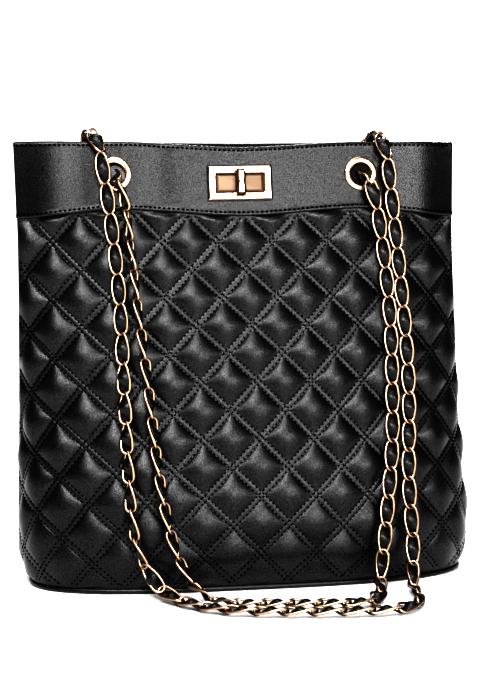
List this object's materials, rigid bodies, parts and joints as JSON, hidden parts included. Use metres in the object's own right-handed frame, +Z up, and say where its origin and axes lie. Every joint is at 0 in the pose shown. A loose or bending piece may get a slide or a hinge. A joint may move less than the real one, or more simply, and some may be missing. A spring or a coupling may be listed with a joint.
{
  "type": "quilted shopper bag",
  "caption": "Soft quilted shopper bag with a plain top band, a turn lock on the front and a long chain strap threaded through eyelets near the rim.",
  "frame": {"origin": "centre of the base on the floor, under the middle of the bag's width and depth", "axes": "+Z up, the front with the turn lock faces -Y, +X is to the right as seen from the front"},
  "size_m": [0.329, 0.1978, 0.3207],
  "materials": {
    "quilted_leather": "black smooth leather with a fine grain and a soft sheen, quilted in diamonds",
    "band_leather": "black smooth leather with a fine grain and a soft sheen",
    "lining_cloth": "black woven lining",
    "base_board": "bare pressed fibreboard",
    "rose_gold_metal": "polished, plated in pale rose gold",
    "plated_steel": "plain plated steel, hidden inside the walls",
    "strap_chain": "light alloy chain in pale rose gold with a black leather ribbon woven through it"
  },
  "bodies": {
    "bag": {"front_panel": "quilted_leather", "back_panel": "quilted_leather", "base_panel": "quilted_leather", "base_piping": "quilted_leather", "front_band": "band_leather", "back_band": "band_leather", "front_facing": "band_leather", "back_facing": "band_leather", "lining": "lining_cloth", "zip_pocket_bag": "lining_cloth", "zip_tape_upper": "lining_cloth", "zip_tape_lower": "lining_cloth", "base_board": "base_board", "lock_frame": "rose_gold_metal", "lock_block": "rose_gold_metal", "snap_socket": "rose_gold_metal", "snap_stud": "rose_gold_metal", "zip_teeth": "rose_gold_metal", "zip_stop_left": "rose_gold_metal", "zip_stop_right": "rose_gold_metal", "eyelet_front_left": "rose_gold_metal", "eyelet_front_right": "rose_gold_metal", "eyelet_back_left": "rose_gold_metal", "eyelet_back_right": "rose_gold_metal", "lock_backing_plate": "plated_steel", "snap_washer_front": "plated_steel", "snap_washer_back": "plated_steel", "eyelet_washer_front_left": "plated_steel", "eyelet_washer_front_right": "plated_steel", "eyelet_washer_back_left": "plated_steel", "eyelet_washer_back_right": "plated_steel", "front_strap": "strap_chain", "rear_strap": "strap_chain"},
    "turn_bar": {"turn_bar": "rose_gold_metal", "lock_clip": "plated_steel"},
    "zip_slider": {"zip_slider": "rose_gold_metal"},
    "zip_pull": {"zip_pull": "rose_gold_metal"}
  },
  "joints": [
    {"name": "turn_lock", "type": "hinge", "parent": "bag", "child": "turn_bar", "pos_m": [-0.00465, -0.01375, 0.28198], "axis": [-0.0002, -0.9919, 0.1271], "range_deg": [0, 90]},
    {"name": "zip_slide", "type": "slide", "parent": "bag", "child": "zip_slider", "axis": [0.9999, -0.0035, 0.0145], "range_m": [-0.105, 0]},
    {"name": "zip_pull_swing", "type": "hinge", "parent": "zip_slider", "child": "zip_pull", "pos_m": [0.05135, 0.01106, 0.21023], "axis": [-0.9999, 0.0035, -0.0145], "range_deg": [0, 150]}
  ]
}
